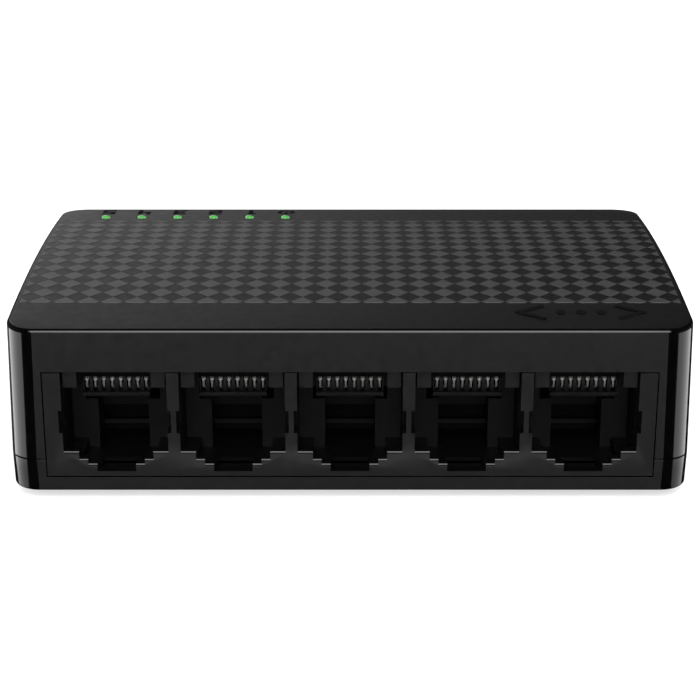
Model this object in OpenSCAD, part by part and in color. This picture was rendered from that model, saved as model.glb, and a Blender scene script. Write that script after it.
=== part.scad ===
// Five-port desktop network switch in a two-part plastic case.
// Origin: centre of the outline, on the surface the feet stand on. The ports face -Y, +Z is up.

/* [Case] */
// Width of the case at its seam, along X
case_w = 81.9; // [80.9:0.2:84.1]
// Depth of the case, along Y
case_d = 51.4; // [50:0.2:56]
// Height of the front edge of the roof above the underside of the base
edge_h = 20.6; // [20.4:0.2:22]
// Rise of the arched roof above its front and rear edges
crown = 1.4; // [0.8:0.1:2]
// Wall thickness of the case
wall = 1.6; // [1.4:0.1:1.7]
// Corner radius of the outline at the front
corner_front_r = 3.4; // [2.6:0.2:3.8]
// Corner radius of the outline at the rear
corner_rear_r = 3.6; // [3:0.2:6]
// Height of the seam above the underside of the base
seam_h = 4.1; // [3.9:0.1:4.6]
// How far each side wall leans in from the seam up to the roof
draft_top = 0.3; // [0:0.05:0.4]
// How far each side wall leans in from the seam down to the underside
draft_low = 0.12; // [0:0.02:0.2]
// Thickness of the base floor
floor_t = 1.4; // [1.2:0.1:1.5]

/* [Feet and screws] */
// Height of the rubber feet below the case
foot_h = 0.9; // [0.6:0.1:1.2]
// Diameter of a rubber foot
foot_d = 9; // [8:0.5:10]
// Distance of the feet from the middle, along X
foot_x = 32; // [30:0.5:33]
// Distance of the front feet from the middle, along Y
foot_front_y = 18; // [16:0.5:19]
// Distance of the rear feet and screws from the middle, along Y
foot_rear_y = 15; // [14:0.5:15.5]

/* [Ports] */
// Distance between neighbouring ports
port_pitch = 14; // [13.9:0.05:14]
// Width of a port's mouth
mouth_w = 12.55; // [12.2:0.05:12.6]
// Distance between neighbouring contact wires
wire_pitch = 1.02; // [1.01:0.01:1.03]
// Width of a contact wire
wire_w = 0.42; // [0.38:0.02:0.46]
// Thickness of a contact wire
wire_t = 0.3; // [0.26:0.02:0.32]
// Downward slope of a free contact leg, in degrees
leg_slope = 18; // [15:0.5:19]

/* [Circuit board] */
// Thickness of the circuit board
board_t = 1.6; // [1.4:0.1:1.6]
// Height of the board's underside above the floor it stands on
board_z = 4.4; // [4.3:0.1:4.6]

/* [Power inlet] */
// Position of the power inlet along X
inlet_x = 24; // [20:0.5:26]
// Diameter of the centre pin
pin_d = 2; // [2:0.1:2.5]
// Bore that takes the barrel plug
plug_bore_d = 6.2; // [6:0.1:6.4]

/* [Lights] */
// Distance between neighbouring lights
light_pitch = 5; // [4.8:0.02:5.1]
// Position of the first light, next to the power light, along X
power_light_x = -9; // [-10:0.2:-8]
// Distance of the lights from the rear edge
light_inset = 6.6; // [6:0.1:6.8]
// Diameter of a light post
light_d = 1.26; // [1.2:0.02:1.4]
// Height of the light posts above the roof around them
light_proud = 0.34; // [0.1:0.02:0.5]

/* [Hidden] */
$fn = 48;

ports = [1:5];
front_y = -case_d / 2;
rear_y = case_d / 2;
side_x = case_w / 2;
base_z = foot_h;
seam_z = base_z + seam_h;
edge_z = base_z + edge_h;
roof_z = edge_z + crown;
arch_r = (pow(case_d, 2) / 4 + pow(crown, 2)) / (2 * crown);
floor_z = base_z + floor_t;
gap = 0.05;

// Vents, label and hooks of the base
vents = [-7:7];
vent_pitch = 2.9;
vent_w = 1.3;
vent_l = 11;
vent_rows_y = [-6, 10];
label_x = 16;
label_front = -22;
label_rear = -13;
label_edge = 0.2;
label_sink = 0.15;
hook_front = 5.8;
hook_back = 10.2;
hook_t = 1;
hook_z = seam_z + 4.5;
groove_inset = 0.8;

// Window in the front of the case, and the ganged housing behind it
window_w = 72.8;
window_low_z = base_z + 1.9;
window_top_z = base_z + 15.2;
tab_low_z = base_z + 12.95;
tab_y = 0.8;
tab_in_x = 4.3;
tab_out_x = 6.15;
housing_w = window_w - 0.1;
housing_low_z = floor_z + 0.15;
housing_top_z = window_top_z - gap;
housing_d = 15;
front_skin = 1.5;
rib_w = 1.4;
rib_back = 19;

// Heights in a port
ledge_z = base_z + 5.1;
step_1_z = base_z + 4.1;
step_2_z = base_z + 3.5;
latch_z = base_z + 2.55;
step_1_w = 8.9;
step_2_w = 6.8;
latch_w = 4.65;
notch_w = 13.4;
notch_low_z = base_z + 7.5;
notch_top_z = base_z + 10.35;
notch_d = 2.4;
stop_y = 8.7;
stop_gap = 3.1;
stop_top_z = base_z + 8.5;
stop_high_x = 4.6;
stop_high_z = base_z + 12;
side_floor_z = base_z + 3.3;
cavity_floor_z = base_z + 2.05;
cavity_d = 13.5;
back_bars = [base_z + 3.2, base_z + 5.8];
back_bar_h = 0.6;
back_window_x = 3.1;
back_skin = 0.5;

// Comb that guides the wires, set back between the tabs
recess_x = 4.1;
comb_y = 2.6;
tooth_y = 3.3;
tooth_end = 5.4;
tooth_w = 0.4;
lip_y = 2.5;
lip_end = 3.6;
lip_low_z = base_z + 11.25;
lip_top_z = base_z + 11.7;

// Contact wires: the bend is the hinge of the free legs
wires = [0:7];
bend_y = 4.2;
bend_z = base_z + 12.7;
bend_r = 0.95;
hub_r = 0.56;
leg_end = 8.35;
wire_top_z = bend_z + bend_r + 0.1;
insert_y = 9;
insert_w = 9.2;
insert_low_z = base_z + 12.3;
tail_y = 16.2;
tail_step = 1.8;
tail_low_z = 3.2;

// Circuit board and the stack on it
board_top = board_z + board_t;
board_front = front_y + housing_d + 0.4;
board_rear = rear_y - wall - 0.5;
board_w = case_w - 2 * wall - 1.2;
boss_r = 2.5;
screw_hole_r = 1.3;
led_top = board_top + 0.8;
light_y = rear_y - light_inset;
guide_low_z = led_top + 0.2;
guide_bar_z = 13;

// Power inlet
inlet_z = board_top + 6.5;
jack_w = 9;
jack_front = board_rear + 0.4;
jack_back = jack_front - 14;
nose_r = 3.9;
bore_back = rear_y - 9.6;
pin_tip = rear_y - 1.8;
pin_root_r = 1.3;
slot_half = 1.6;
leaf_y = bore_back + 0.9;
leaf_z = inlet_z - 4.3;
leaf_l = 7;

function port_x(p) = (p - 3) * port_pitch;
function light_x(i) = power_light_x - i * light_pitch;
// Y of a point that lies d behind the front face
function behind(d) = front_y + d;

// A block given by its limits
module block(x, y, z) {
    translate([x[0], y[0], z[0]]) cube([x[1] - x[0], y[1] - y[0], z[1] - z[0]]);
}

// A block that is mirrored about the middle of port p
module pair(p, x, y, z) {
    for (side = [0, 1])
        translate([port_x(p), 0, 0]) mirror([side, 0, 0]) block(x, y, z);
}

// The outline of the case in plan, moved inwards
module outline(inset) {
    rf = corner_front_r - inset;
    rr = corner_rear_r - inset;
    x = side_x - inset;
    y = rear_y - inset;
    for (s = [-1, 1]) {
        translate([s * (x - rf), -y + rf]) circle(rf);
        translate([s * (x - rr), y - rr]) circle(rr);
    }
    translate([-x + rf, -y]) square([2 * (x - rf), rf + 1]);
    translate([-x + rr, y - rr - 1]) square([2 * (x - rr), rr + 1]);
    translate([-x, -y + rf]) square([2 * x, 2 * y - rf - rr]);
}

// The space between the side walls, which lean in from the seam
module between_sides() {
    lean = draft_top / (edge_z - seam_z);
    reach = draft_low / seam_h;
    high = side_x - lean * (roof_z + 1 - seam_z);
    low = side_x - reach * seam_z;
    rotate([90, 0, 0]) linear_extrude(case_d + 2, center = true)
        polygon([[-low, 0], [low, 0], [side_x, seam_z], [high, roof_z + 1],
            [-high, roof_z + 1], [-side_x, seam_z]]);
}

// The space under the arched roof, moved inwards, from z = low upwards
module arched_body(inset, low) {
    intersection() {
        translate([0, 0, low]) linear_extrude(roof_z - low + 1) outline(inset);
        translate([0, 0, roof_z - arch_r]) rotate([0, 90, 0])
            cylinder(h = case_w + 2, r = arch_r - inset, center = true, $fn = 360);
    }
}

// The opening in the front wall that the ports fill
module port_window(low, high) {
    block([-window_w / 2, window_w / 2], [front_y - 1, front_y + wall + 0.05], [low, high]);
}

// Tabs that hang into the window and hold the housing down
module window_tabs() {
    for (p = ports)
        pair(p, [tab_in_x, tab_out_x], [behind(tab_y), behind(wall - 0.1)],
            [tab_low_z, window_top_z + 0.2]);
}

module top_cover() {
    color("#151515") {
        difference() {
            intersection() {
                arched_body(0, seam_z);
                between_sides();
            }
            arched_body(wall, seam_z - 1);
            // Groove that takes the tongue of the base
            translate([0, 0, seam_z - 0.5]) linear_extrude(1.8) outline(groove_inset);
            port_window(seam_z - 1, window_top_z);
            for (i = [0:5])
                translate([light_x(i), light_y, edge_z - 3]) cylinder(h = 8, r = light_d / 2 + gap);
            translate([inlet_x, rear_y + 1, inlet_z]) rotate([90, 0, 0])
                cylinder(h = wall + 2, r = nose_r + 0.1);
            // Pockets for the snap hooks of the base
            for (s = [-1, 1])
                translate([s * (side_x - wall), behind((hook_front + hook_back) / 2),
                    hook_z + hook_t / 2])
                    cube([1.2, hook_back - hook_front + 1, hook_t + 0.4], center = true);
        }
        window_tabs();
        for (s = [-1, 1])
            translate([s * foot_x, foot_rear_y, board_z + gap]) screw_boss();
    }
}

// Hollow post under the roof that takes a case screw
module screw_boss() {
    height = edge_z - board_z;
    difference() {
        cylinder(h = height, r = boss_r);
        translate([0, 0, -1]) cylinder(h = 9, r = screw_hole_r);
    }
}

module base_cover() {
    tongue_inset = groove_inset + gap;
    color("#161616") difference() {
        union() {
            intersection() {
                translate([0, 0, base_z]) linear_extrude(seam_h) outline(0);
                between_sides();
            }
            translate([0, 0, seam_z - 1]) linear_extrude(2.1) outline(tongue_inset);
        }
        translate([0, 0, floor_z]) linear_extrude(seam_h + 2) difference() {
            outline(wall);
            for (s = [-1, 1])
                translate([s * foot_x, foot_rear_y]) circle(3.6);
        }
        // The posts under the board end at its underside
        translate([0, foot_rear_y, board_z + 5]) cube([case_w - 4 * wall, 12, 10], center = true);
        port_window(window_low_z, seam_z + 3);
        for (s = [-1, 1]) {
            foot_recess(s * foot_x, -foot_front_y);
            foot_recess(s * foot_x, foot_rear_y);
            translate([s * foot_x, foot_rear_y, base_z]) cylinder(h = 2.4, r = 2.6);
            translate([s * foot_x, foot_rear_y, base_z]) cylinder(h = 8, r = 1.5);
        }
        for (i = vents)
            for (y = vent_rows_y)
                translate([i * vent_pitch, y, base_z]) cube([vent_w, vent_l, 8], center = true);
        block([-label_x - label_edge, label_x + label_edge],
            [label_front - label_edge, label_rear + label_edge], [base_z - 1, base_z + label_sink]);
    }
    color("#161616") for (s = [0, 1]) mirror([s, 0, 0]) snap_hook();
}

module foot_recess(x, y) {
    translate([x, y, base_z - 1]) cylinder(h = 1.6, r = foot_d / 2 + 0.1);
}

// Springy hook that holds the front of the top cover down
module snap_hook() {
    stem = side_x - wall - 0.8;
    block([stem - hook_t, stem], [behind(hook_front), behind(hook_back)], [floor_z - 0.1, hook_z + 1.5]);
    block([stem - 0.1, stem + 1.2], [behind(hook_front), behind(hook_back)], [hook_z, hook_z + hook_t]);
}

module rubber_feet() {
    color("#202020") for (s = [-1, 1]) {
        translate([s * foot_x, -foot_front_y, 0]) foot();
        translate([s * foot_x, foot_rear_y, 0]) foot();
    }
}

module foot() {
    rotate_extrude() {
        square([foot_d / 2 - 0.4, base_z + 0.6]);
        translate([0, 0.4]) square([foot_d / 2, base_z + 0.2]);
    }
}

module case_screws() {
    color("#8a8a8a") for (s = [-1, 1])
        translate([s * foot_x, foot_rear_y, base_z + 0.7]) difference() {
            union() {
                cylinder(h = 1.6, r = 2.3);
                cylinder(h = 9, r = 1.2);
            }
            translate([0, 0, 0.4]) cube([0.6, 2.6, 1], center = true);
            translate([0, 0, 0.4]) cube([2.6, 0.6, 1], center = true);
        }
}

module rating_label() {
    color("#b8b8b8") block([-label_x, label_x], [label_front, label_rear],
        [base_z + 0.02, base_z + label_sink]);
}

module circuit_board() {
    color("#17472d") difference() {
        block([-board_w / 2, board_w / 2], [board_front, board_rear], [board_z, board_top]);
        for (s = [-1, 1])
            translate([s * foot_x, foot_rear_y, board_z - 1]) cylinder(h = 4, r = boss_r + 0.3);
        for (p = ports)
            for (w = wires)
                translate([wire_x(p, w), behind(wire_tail_y(w)), board_z - 1])
                    cylinder(h = 4, r = 0.4);
        for (x = rib_places())
            translate([x, behind(rib_back - 1.4), board_z - 1]) cylinder(h = 4, r = 0.6);
        translate([inlet_x, jack_back + 1.1, board_z - 1]) cylinder(h = 4, r = 0.8);
        translate([inlet_x - 2.6, leaf_y - 1, board_z - 1]) cylinder(h = 4, r = 0.8);
        // The rear corners clear the rounded corners of the case
        for (s = [-1, 1])
            translate([s * (board_w / 2), board_rear, board_z - 1]) rotate([0, 0, 45])
                cube([4, 4, 6], center = true);
    }
}

// Positions along X of the ribs on which the housing stands on the board
function rib_places() = [-window_w / 2 + 1.1, -1.5 * port_pitch, -0.5 * port_pitch,
    0.5 * port_pitch, 1.5 * port_pitch, window_w / 2 - 1.1];

module rj45_housing() {
    color("#1a1a1a") {
        difference() {
            block([-housing_w / 2, housing_w / 2], [front_y, behind(housing_d)],
                [housing_low_z, housing_top_z]);
            // Rebate over the lower edge of the window
            block([-window_w, window_w], [front_y - 1, behind(wall + 0.1)],
                [housing_low_z - 1, window_low_z + gap]);
            for (p = ports) port_cavity(p);
        }
        for (p = ports) {
            stop_blocks(p);
            wire_comb(p);
        }
        for (x = rib_places()) {
            block([x - rib_w / 2, x + rib_w / 2], [behind(housing_d - 0.1), behind(rib_back)],
                [board_top, base_z + 12]);
            translate([x, behind(rib_back - 1.4), board_z - 0.6]) cylinder(h = 4, r = 0.5);
        }
    }
}

// Everything that is cut out of the housing for one port
module port_cavity(p) {
    x = port_x(p);
    half = mouth_w / 2;
    front = front_y - 1;
    skin = behind(front_skin);
    // Mouth and the stepped slot of the latch
    block([x - half, x + half], [front, behind(cavity_d)], [ledge_z, tab_low_z - gap]);
    block([x - step_1_w / 2, x + step_1_w / 2], [front, skin + 0.1], [step_1_z, ledge_z + 1]);
    block([x - step_2_w / 2, x + step_2_w / 2], [front, skin + 0.1], [step_2_z, ledge_z + 1]);
    block([x - latch_w / 2, x + latch_w / 2], [front, skin + 0.1], [latch_z, ledge_z + 1]);
    // Wider and lower room behind the front skin
    block([x - half, x + half], [skin, behind(cavity_d)], [side_floor_z, ledge_z + 1]);
    block([x - 4.45, x + 4.45], [skin, behind(cavity_d)], [cavity_floor_z, ledge_z + 1]);
    // Notches beside the mouth, and seats for the tabs of the case
    block([x - notch_w / 2, x + notch_w / 2], [front, behind(notch_d)], [notch_low_z, notch_top_z]);
    pair(p, [tab_in_x - 0.1, half], [front, behind(wall + 0.02)],
        [tab_low_z - 0.2, housing_top_z + 1]);
    // Recess between the tabs, and room for the contact wires behind it
    block([x - recess_x, x + recess_x], [front, behind(comb_y)], [tab_low_z - 1, housing_top_z + 1]);
    block([x - tab_in_x, x + tab_in_x], [front, behind(wall + 0.02)],
        [tab_low_z - 1, housing_top_z + 1]);
    block([x - recess_x, x + recess_x], [behind(comb_y - 1), behind(housing_d + 1)],
        [tab_low_z - 1, wire_top_z]);
    block([x - insert_w / 2 - gap, x + insert_w / 2 + gap], [behind(insert_y - gap),
        behind(housing_d + 1)], [insert_low_z - gap, wire_top_z]);
    // Pockets in the back wall, between its bars
    block([x - back_window_x, x + back_window_x], [behind(cavity_d - 1),
        behind(housing_d - back_skin)], [cavity_floor_z, back_bars[0]]);
    block([x - back_window_x, x + back_window_x], [behind(cavity_d - 1),
        behind(housing_d - back_skin)], [back_bars[0] + back_bar_h, back_bars[1]]);
}

// Shoulders in the depth of a port, where the plug ends
module stop_blocks(p) {
    half = mouth_w / 2;
    pair(p, [stop_gap, half + 0.1], [behind(stop_y), behind(cavity_d + 0.1)],
        [cavity_floor_z - 0.1, stop_top_z]);
    pair(p, [stop_high_x, half + 0.1], [behind(stop_y), behind(cavity_d + 0.1)],
        [stop_top_z - 0.1, stop_high_z]);
}

// Teeth that keep the bends of the wires apart, and the lip that joins them below
module wire_comb(p) {
    room = recess_x - gap;
    for (i = [-4:4])
        block([port_x(p) + max(i * wire_pitch - tooth_w / 2, -room),
            port_x(p) + min(i * wire_pitch + tooth_w / 2, room)],
            [behind(tooth_y), behind(tooth_end)], [lip_top_z - 0.1, wire_top_z + 0.1]);
    block([port_x(p) - room, port_x(p) + room], [behind(lip_y), behind(lip_end)],
        [lip_low_z, lip_top_z]);
}

function wire_x(p, w) = port_x(p) + (w - 3.5) * wire_pitch;
// The tails stand in two rows, so that neighbours keep apart in the board
function wire_tail_y(w) = tail_y + (w % 2) * tail_step;

// The profile of something bent from wire, drawn in Y and Z and one wire wide
module wire_profile(p, w) {
    translate([wire_x(p, w) - wire_w / 2, behind(bend_y), bend_z])
        rotate([90, 0, 90]) linear_extrude(wire_w) children();
}

module port_insert(p) {
    color("#262626") difference() {
        block([port_x(p) - insert_w / 2, port_x(p) + insert_w / 2],
            [behind(insert_y), behind(housing_d)], [insert_low_z, wire_top_z - gap]);
        for (w = wires)
            block([wire_x(p, w) - wire_w / 2 - gap, wire_x(p, w) + wire_w / 2 + gap],
                [behind(insert_y - 1), behind(housing_d + 1)],
                [bend_z + bend_r - wire_t - gap, bend_z + bend_r + gap]);
    }
}

module port_leads(p) {
    color("#c9c6be") for (w = wires) wire_profile(p, w) {
        tail = wire_tail_y(w) - bend_y;
        // Bend behind the mouth
        difference() {
            circle(bend_r);
            circle(bend_r - wire_t);
            translate([0, -2]) square([2, 4]);
        }
        // Run back under the roof of the housing, and the tail in the board
        translate([-0.02, bend_r - wire_t]) square([tail + wire_t / 2, wire_t]);
        translate([tail - wire_t / 2, tail_low_z - bend_z])
            square([wire_t, bend_z - tail_low_z + bend_r]);
    }
}

module port_springs(p) {
    fall = tan(leg_slope) * (leg_end - 0.1);
    color("#c9c6be") for (w = wires) wire_profile(p, w) {
        circle(hub_r);
        polygon([[0, 0], [hub_r, 0], [0.9, -0.9], [0.12, -0.9]]);
        polygon([[0.12, wire_t - bend_r], [0.12, -bend_r], [leg_end, -bend_r - fall],
            [leg_end, wire_t - bend_r - fall]]);
    }
}

module power_jack_housing() {
    color("#1c1c1c") difference() {
        union() {
            block([inlet_x - jack_w / 2, inlet_x + jack_w / 2], [jack_back, jack_front - 0.5],
                [board_top, inlet_z + 5]);
            translate([inlet_x, rear_y - 0.3, inlet_z]) rotate([90, 0, 0])
                cylinder(h = 4, r = nose_r);
        }
        translate([inlet_x, rear_y + 1, inlet_z]) rotate([90, 0, 0])
            cylinder(h = rear_y + 1 - bore_back, r = plug_bore_d / 2);
        translate([inlet_x, bore_back + 1, inlet_z]) rotate([90, 0, 0])
            cylinder(h = 12, r = pin_root_r + gap);
        block([inlet_x - 1.4, inlet_x + 1.4], [jack_back - 1, jack_back + 1.8],
            [board_top - 1, inlet_z + 1.7]);
        // Slot of the side contact, open downwards
        block([inlet_x - slot_half, inlet_x + slot_half], [leaf_y - 1, leaf_y + leaf_l + 0.8],
            [board_top - 1, inlet_z]);
        block([inlet_x - 3.6, inlet_x - slot_half + 0.2], [leaf_y - 2, leaf_y + 1],
            [board_top - 1, leaf_z + 1]);
    }
}

module power_jack_pin() {
    color("#c9c9c9") {
        translate([inlet_x, pin_tip, inlet_z]) rotate([90, 0, 0])
            cylinder(h = pin_tip - bore_back - 0.1, r = pin_d / 2);
        translate([inlet_x, bore_back + 0.1, inlet_z]) rotate([90, 0, 0])
            cylinder(h = bore_back - jack_back - 0.9, r = pin_root_r);
        translate([inlet_x, pin_tip, inlet_z]) sphere(r = pin_d / 2);
        block([inlet_x - 1.2, inlet_x + 1.2], [jack_back + 0.8, jack_back + 1.4],
            [board_top + 0.1, inlet_z + 1.4]);
        block([inlet_x - 0.5, inlet_x + 0.5], [jack_back + 0.8, jack_back + 1.4],
            [tail_low_z, board_top + 0.2]);
    }
}

module power_jack_contact() {
    color("#c0c0c0") {
        block([inlet_x - 2.9, inlet_x - 2.3], [leaf_y - 1.4, leaf_y - 0.6],
            [tail_low_z, leaf_z + 0.3]);
        block([inlet_x - 2.9, inlet_x - 1.5], [leaf_y - 1.4, leaf_y + 0.7],
            [leaf_z - 0.3, leaf_z + 0.3]);
    }
}

module power_jack_spring() {
    lift = inlet_z - plug_bore_d / 2 - leaf_z + 0.5;
    color("#c0c0c0") translate([inlet_x - 1.2, leaf_y, leaf_z]) rotate([90, 0, 90])
        linear_extrude(2.4) {
            circle(0.4);
            polygon([[0, -0.2], [leaf_l - 1.5, lift - 0.4], [leaf_l, lift - 1.1],
                [leaf_l, lift - 0.8], [leaf_l - 1.5, lift], [0, 0.2]]);
        }
}

module light_guide() {
    color("#7fd08a") {
        for (i = [0:5])
            translate([light_x(i), light_y, guide_low_z]) {
                cylinder(h = light_top() - guide_low_z, r = light_d / 2);
                cylinder(h = guide_bar_z - guide_low_z, r = 0.9);
            }
        block([light_x(5) - 1.4, light_x(0) + 1.4], [light_y - 0.7, light_y + 0.7],
            [guide_bar_z, guide_bar_z + 1.2]);
    }
}

// Height at which the posts end, proud of the arched roof
function light_top() = roof_z - arch_r + sqrt(pow(arch_r, 2) - pow(light_y, 2)) + light_proud;

// A chip with its size along X, Y and Z, standing on the board
module chip(x, y, size) {
    translate([x - size[0] / 2, y - size[1] / 2, board_top]) cube(size);
}

module port_leds() {
    color("#dfe8dc") for (i = [1:5]) chip(light_x(i), light_y, [1.25, 2, 0.8]);
}

module power_led() {
    color("#dfe8dc") chip(light_x(0), light_y, [1.25, 2, 0.8]);
}

module switch_chip() {
    color("#1b1b1b") chip(-4, 10, [10, 10, 0.9]);
}

module crystal() {
    color("#c4c4c4") translate([8, 12, board_top]) {
        block([-3.2, 3.2], [-2.3, 2.3], [0, 0.5]);
        for (s = [-1, 1]) translate([s * 3.2, 0, 0]) cylinder(h = 3.4, r = 1.9);
        block([-3.2, 3.2], [-1.9, 1.9], [0, 3.4]);
    }
}

// The transformers stand in a row behind the ports
module isolation_transformer(p) {
    body = [11.4, 7, 5.2];
    y = board_front + 10;
    color("#191919") translate([port_x(p), y, board_top]) {
        translate([0, 0, 0.3 + body[2] / 2]) cube(body, center = true);
        for (i = [-3:3])
            translate([i * 1.5, 0, 0.3]) cube([0.5, body[1] + 2, 0.6], center = true);
    }
}

module rectifier_diode() {
    color("#222222") chip(32, 8, [2.6, 4.3, 2.2]);
}

module regulator() {
    color("#1d1d1d") chip(12, 19, [2.9, 1.6, 1.1]);
}

module power_inductor() {
    color("#6d6d6d") translate([16, 16, board_top]) {
        cylinder(h = 2.8, r = 2.2);
        translate([0, 0, 0.4]) cube([5, 5, 0.8], center = true);
    }
}

module input_capacitors() {
    color("#2a2f45") for (place = [[3, 19.4], [-14, 12]])
        translate([place[0], place[1], board_top]) {
            cylinder(h = 5.4, r = 2.5);
            translate([0, 0, 0.3]) cube([5.3, 5.3, 0.6], center = true);
        }
}

module chip_capacitors() {
    color("#b39468") {
        for (i = [-3:3]) chip(i * 2.4 - 4, 16, [1, 0.5, 0.5]);
        for (i = [0:2]) chip(-12, 5.4 + i * 1.3, [1, 0.5, 0.5]);
    }
}

module chip_resistors() {
    color("#26262a") {
        for (i = [0:5]) chip(light_x(i), light_y + 2.2, [0.5, 1, 0.35]);
        for (p = ports) chip(port_x(p) + 6.6, board_front + 8, [0.5, 1, 0.35]);
    }
}

top_cover();
base_cover();
rubber_feet();
case_screws();
rating_label();
circuit_board();
rj45_housing();
for (p = ports) {
    port_insert(p);
    port_leads(p);
    port_springs(p);
    isolation_transformer(p);
}
power_jack_housing();
power_jack_pin();
power_jack_contact();
power_jack_spring();
light_guide();
port_leds();
power_led();
switch_chip();
crystal();
rectifier_diode();
regulator();
power_inductor();
input_capacitors();
chip_capacitors();
chip_resistors();
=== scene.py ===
import math

import bmesh
import bpy
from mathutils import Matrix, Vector


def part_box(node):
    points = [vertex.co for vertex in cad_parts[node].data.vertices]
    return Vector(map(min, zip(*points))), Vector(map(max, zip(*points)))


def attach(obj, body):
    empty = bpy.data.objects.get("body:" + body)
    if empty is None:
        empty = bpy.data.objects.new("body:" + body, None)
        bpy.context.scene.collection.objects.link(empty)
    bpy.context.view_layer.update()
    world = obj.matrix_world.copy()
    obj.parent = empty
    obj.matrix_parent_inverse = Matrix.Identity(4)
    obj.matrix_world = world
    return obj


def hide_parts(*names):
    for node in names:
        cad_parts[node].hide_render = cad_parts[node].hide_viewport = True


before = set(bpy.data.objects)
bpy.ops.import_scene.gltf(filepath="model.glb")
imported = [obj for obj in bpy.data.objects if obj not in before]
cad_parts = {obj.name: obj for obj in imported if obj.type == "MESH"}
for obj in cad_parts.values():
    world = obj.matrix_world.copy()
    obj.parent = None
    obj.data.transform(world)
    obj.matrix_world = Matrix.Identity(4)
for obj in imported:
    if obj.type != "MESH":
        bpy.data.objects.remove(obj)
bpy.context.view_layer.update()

# Lengths are in millimetres, in the frame of the CAD. Meshes are scaled to metres when made.
MM = 0.001


def box_mm(node):
    """The low and the high corner of a CAD node."""
    low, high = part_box(node)
    return low / MM, high / MM


case_low, case_high = box_mm("top_cover")
base_low, _ = box_mm("base_cover")
jack_low, jack_high = box_mm("rj45_housing")
inlet_low, inlet_high = box_mm("power_jack_housing")
board_low, board_high = box_mm("circuit_board")
label_low, label_high = box_mm("rating_label")
guide_low, guide_high = box_mm("light_guide")

# Case, with the arch of its roof
HALF_W = case_high.x
FRONT = case_low.y
REAR = case_high.y
ROOF = case_high.z
BASE = base_low.z
CROWN = 1.4
EDGE = ROOF - CROWN
ARCH_R = (REAR ** 2 + CROWN ** 2) / (2 * CROWN)
SEAM = BASE + 4.1
SEAM_GAP = 0.06
SEAM_EASE = 0.05
WALL = 1.6
FLOOR = BASE + 1.4
CORNER_FRONT = 3.4
CORNER_REAR = 3.6
CORNER_STEPS = 12
SIDE_STEPS = 36
LEAN_TOP = 0.3
LEAN_LOW = 0.12
ROOF_FILLET = 0.45
BASE_FILLET = 0.3
FILLET_STEPS = 6

# Underside: feet, vents, the plate of the label, and the posts under the rear of the board
FOOT_X = 32
FOOT_REAR_Y = 15
FOOT_YS = (-18, FOOT_REAR_Y)
FOOT_HOLE_R = 4.6
FOOT_HOLE_EASE = 0.25
FOOT_HOLE_DEPTH = 0.6
VENT_YS = (-6, 10)
VENT_COLUMNS = range(-7, 8)
VENT_PITCH = 2.9
VENT_HALF_W = 0.65
VENT_HALF_L = 5.5
VENT_CORNER = 0.6
VENT_EASE = 0.2
LABEL_MARGIN = 0.2
LABEL_CORNER = 1.0
LABEL_DEPTH = 0.15
POST_R = 3.6
POST_EASE = 0.15

# Port window of the case, with the tabs that hang into it
PORTS = range(1, 6)
PORT_PITCH = 14.0
WINDOW_HALF = 36.4
WINDOW_TOP = BASE + 15.2
WINDOW_LOW = BASE + 1.9
TAB_LOW = BASE + 12.95
TAB_DEPTH = 0.8
TAB_IN = 4.3
TAB_OUT = 6.15

# One port, from its mouth inwards. A ledge is (half width of the opening at it, height)
LATCH_HALF = 2.325
LATCH_LOW = BASE + 2.55
LEDGES = ((3.4, BASE + 3.5), (4.45, BASE + 4.1), (6.275, BASE + 5.1))
LEDGE_DROP = 0.22
LEDGE_EASE = 0.12
MOUTH_HALF = 6.275
NOTCH_HALF = 6.7
NOTCH_Z = (BASE + 7.5, BASE + 10.35)
NOTCH_DEPTH = 2.4
ABOVE_JACK = BASE + 17
SKIN = 1.5
CAVITY_HALF = 4.45
CAVITY_LOW = BASE + 2.05
CAVITY_SIDE_LOW = BASE + 3.3
CAVITY_DEPTH = 13.5
HOUSING_BACK = FRONT + 15
INSERT_HALF = 4.65
INSERT_DEPTH = 8.95
INSERT_LOW = BASE + 12.25
POCKET_HALF = 3.1
POCKETS_Z = ((CAVITY_LOW, BASE + 3.2), (BASE + 3.8, BASE + 5.8))
POCKET_SKIN = 0.5
LATCH_ROOM_HALF = 2.2
LATCH_ROOM_DEPTH = 5.4
LATCH_ROOM_TOP = BASE + 2.2
STOP_IN = 3.1
STOP_HIGH_IN = 4.6
STOP_OUT = 6.3
STOP_LOW_Z = (BASE + 1.9, BASE + 8.5)
STOP_HIGH_Z = (BASE + 8.4, BASE + 12)
STOP_Y = (FRONT + 8.7, FRONT + 13.55)
DETAIL_EASE = 0.06
RIB_HALF = 0.7
RIB_Y = (FRONT + 14.9, FRONT + 19)
RIB_TOP = BASE + 12
RIB_FROM_END = 1.1
PEG_Y = FRONT + 17.6
PEG_R = 0.5

# Contact wires and the comb between them
WIRES = range(8)
WIRE_PITCH = 1.02
WIRE_W = 0.42
WIRE_T = 0.3
WIRE_ROUND = 0.1
RECESS = 4.1
COMB_Y = FRONT + 2.6
COMB_ROOM = RECESS - 0.05
COMB_BACK = FRONT + 5.4
LIP_Y = (FRONT + 2.5, FRONT + 3.6)
LIP_Z = (BASE + 11.25, BASE + 11.7)
TOOTH_SLACK = 0.1
BEND_Y = FRONT + 4.2
BEND_Z = BASE + 12.7
BEND_MID = 0.8
WIRE_TOP = BEND_Z + 1.05
TAIL_Y = FRONT + 16.2
TAIL_STEP = 1.8
TAIL_LOW = 3.2
TAIL_CORNER = 0.5
LEG_SLOPE = 18
LEG_LENGTH = 7.4

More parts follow.
